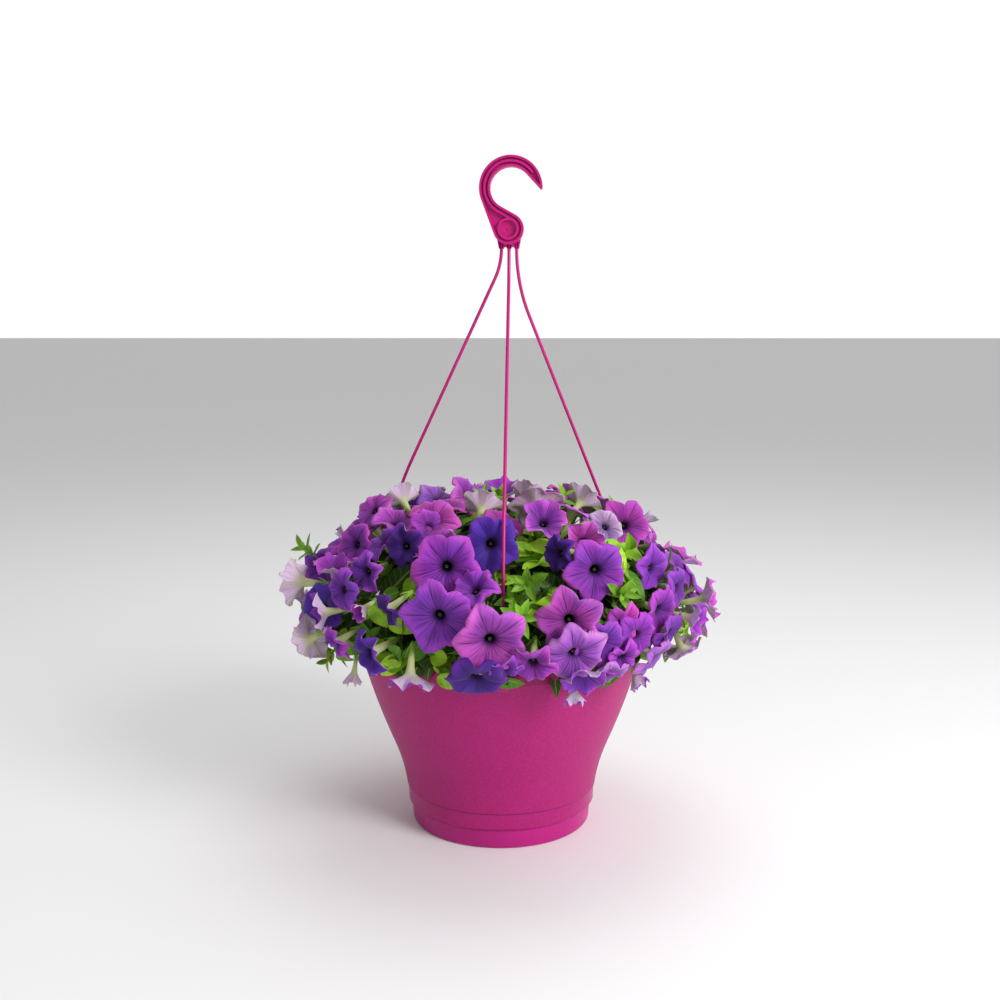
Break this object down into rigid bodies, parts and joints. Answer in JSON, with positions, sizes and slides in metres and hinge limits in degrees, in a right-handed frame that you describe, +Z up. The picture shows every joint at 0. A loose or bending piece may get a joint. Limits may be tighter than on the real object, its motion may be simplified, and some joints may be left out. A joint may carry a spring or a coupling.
{
  "type": "hanging basket",
  "caption": "Round flared hanging basket with drip saucer, clip-on rods that meet under a swivelling hook, and a mound of flowering petunias.",
  "frame": {"origin": "centre of the saucer's flat underside, which is the face the basket stands on", "axes": "+Z up along the pot's axis, towards the hook; the front faces -Y and +X is to the viewer's right"},
  "size_m": [0.427, 0.4269, 0.6796],
  "materials": {
    "pot_plastic": "injection-moulded polypropylene with a fine spark texture, magenta",
    "saucer_plastic": "injection-moulded polypropylene, satin, magenta",
    "hanger_plastic": "smooth injection-moulded polypropylene, bright magenta",
    "compost": "damp crumbly peat-free compost",
    "leaves": "soft, slightly sticky and downy fresh green leaf",
    "petals": "thin velvety petal, violet to pink with dark veins"
  },
  "bodies": {
    "basket": {"pot_shell": "pot_plastic", "compost": "compost", "hanger_head": "hanger_plastic", "hanger_rod_front": "hanger_plastic", "hanger_rod_right": "hanger_plastic", "hanger_rod_left": "hanger_plastic", "petunia_leaves_front_right": "leaves", "petunia_leaves_back": "leaves", "petunia_leaves_front_left": "leaves", "petunia_flowers_front_right": "petals", "petunia_flowers_back": "petals", "petunia_flowers_front_left": "petals"},
    "hook": {"hook": "hanger_plastic"},
    "saucer": {"drip_saucer": "saucer_plastic"}
  },
  "joints": [
    {"name": "hook_swivel", "type": "hinge", "parent": "basket", "child": "hook", "pos_m": [0.0076, 0, 0.6089], "axis": [0.0698, 0.9976, 0], "range_deg": [-60, 60]},
    {"name": "saucer_release", "type": "slide", "parent": "basket", "child": "saucer", "axis": [0, 0, -1], "range_m": [0, 0.04]}
  ]
}
